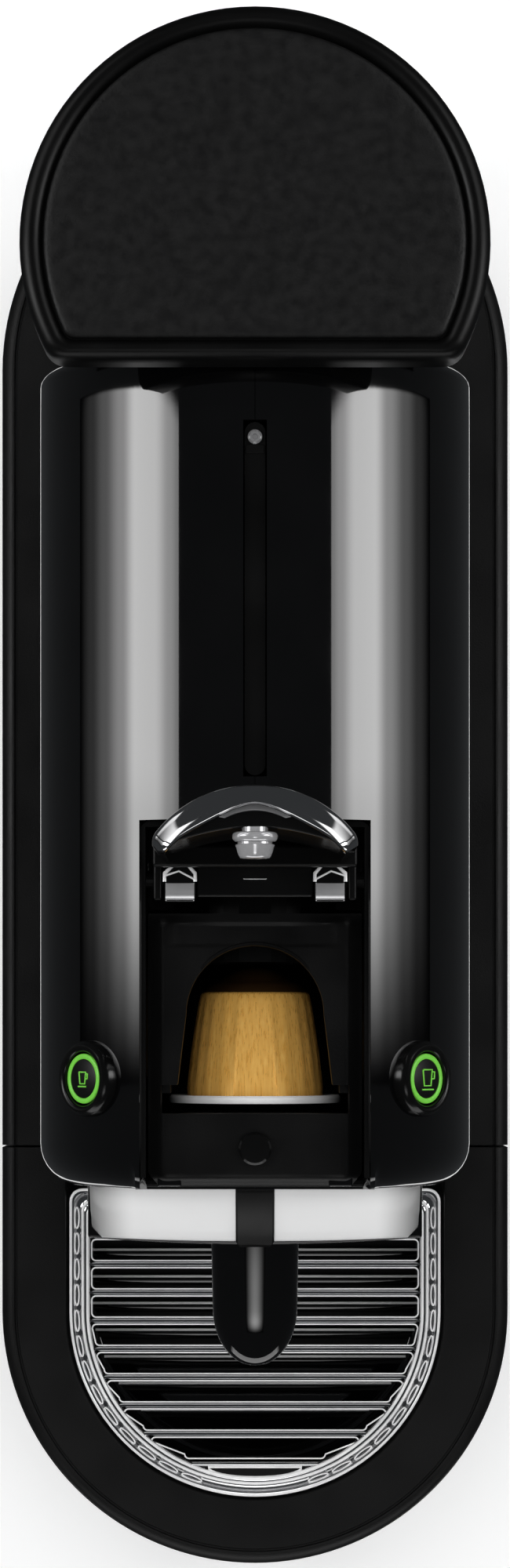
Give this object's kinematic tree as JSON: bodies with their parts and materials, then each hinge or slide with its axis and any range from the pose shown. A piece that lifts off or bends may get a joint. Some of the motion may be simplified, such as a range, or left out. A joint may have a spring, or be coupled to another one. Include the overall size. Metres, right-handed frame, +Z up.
{
  "type": "pod coffee machine",
  "caption": "Slim pod coffee machine with a closing lever, capsule slot, coffee buttons, pull-out drip unit with folding cup support, and a rear water tank.",
  "frame": {"origin": "middle of the footprint, on the surface the machine stands on", "axes": "-Y towards the front (drip grid), +X towards the lungo button, +Z up"},
  "size_m": [0.13, 0.372, 0.312],
  "materials": {
    "gloss_black": "polished injection-moulded black",
    "matte_black": "fine matte black",
    "grained_black": "fine-grained soft-touch black",
    "dark_grey": "plain technical plastic",
    "chrome": "mirror chrome",
    "steel": "brushed",
    "brass": "machined",
    "cast_aluminium": "cast",
    "gold_foil": "gold-lacquered, lightly brushed",
    "rubber": "matte",
    "silicone": "translucent hose",
    "circuit_green": "solder mask",
    "clear_plastic": "smoky clear plastic"
  },
  "bodies": {
    "machine": {"base_chassis": "matte_black", "base_plate": "dark_grey", "foot_1": "rubber", "foot_2": "rubber", "foot_3": "rubber", "foot_4": "rubber", "cord_inlet": "rubber", "left_cover": "gloss_black", "right_cover": "gloss_black", "spine_strip": "matte_black", "opening_frame": "matte_black", "slot_cover": "grained_black", "slot_plug": "rubber", "chin_panel": "chrome", "chin_lip": "dark_grey", "chin_strip": "gloss_black", "spout_cover": "gloss_black", "spout_nozzle": "dark_grey", "outlet_housing": "gloss_black", "outlet_funnel": "dark_grey", "extraction_head": "matte_black", "extraction_plate": "steel", "capsule": "gold_foil", "brew_frame_left": "steel", "brew_frame_right": "steel", "injector_block": "brass", "column_frame": "dark_grey", "thermoblock": "cast_aluminium", "pump": "steel", "pump_mount_front": "rubber", "pump_mount_rear": "rubber", "flow_meter": "dark_grey", "circuit_board": "circuit_green", "tank_hose": "silicone", "pump_hose": "silicone", "pressure_hose": "silicone", "brew_hose": "silicone", "button_collar_left": "gloss_black", "button_collar_right": "gloss_black", "tank_connector": "dark_grey", "tank_seal": "rubber"},
    "lever": {"lever_handle": "chrome", "lever_body": "matte_black", "lever_lug_left": "chrome", "lever_lug_right": "chrome", "latch_stud": "chrome"},
    "cage": {"capsule_cage": "steel", "cage_carriage": "dark_grey", "carriage_rod": "steel"},
    "espresso_button": {"espresso_button": "matte_black"},
    "lungo_button": {"lungo_button": "matte_black"},
    "drip_unit": {"drip_tray": "matte_black", "lower_drip_grid": "steel", "capsule_container": "dark_grey", "container_front": "gloss_black"},
    "cup_support": {"cup_support": "chrome"},
    "water_tank": {"water_tank": "clear_plastic", "tank_valve": "dark_grey"},
    "tank_lid": {"tank_lid": "grained_black"}
  },
  "joints": [
    {"name": "lever_hinge", "type": "hinge", "parent": "machine", "child": "lever", "pos_m": [0, -0.017, 0.25], "axis": [1, 0, 0], "range_deg": [0, 90]},
    {"name": "cage_slide", "type": "slide", "parent": "machine", "child": "cage", "axis": [0, -1, 0], "range_m": [0, 0.0285]},
    {"name": "espresso_press", "type": "slide", "parent": "machine", "child": "espresso_button", "axis": [0.7431, 0, -0.6691], "range_m": [0, 0.0015], "stiffness_N_per_m": 800, "springref_m": -0.0005},
    {"name": "lungo_press", "type": "slide", "parent": "machine", "child": "lungo_button", "axis": [-0.7431, 0, -0.6691], "range_m": [0, 0.0015], "stiffness_N_per_m": 800, "springref_m": -0.0005},
    {"name": "drip_unit_slide", "type": "slide", "parent": "machine", "child": "drip_unit", "axis": [0, -1, 0], "range_m": [0, 0.13]},
    {"name": "cup_support_fold", "type": "hinge", "parent": "drip_unit", "child": "cup_support", "pos_m": [0, -0.091, 0.0682], "axis": [-1, 0, 0], "range_deg": [0, 90]},
    {"name": "tank_lift", "type": "slide", "parent": "machine", "child": "water_tank", "axis": [0, 0, 1], "range_m": [0, 0.22]},
    {"name": "lid_lift", "type": "slide", "parent": "water_tank", "child": "tank_lid", "axis": [0, 0, 1], "range_m": [0, 0.04]}
  ],
  "couplings": [
    {"joint": "cage_slide", "follows": "lever_hinge", "m_per_rad": 0.01808}
  ]
}
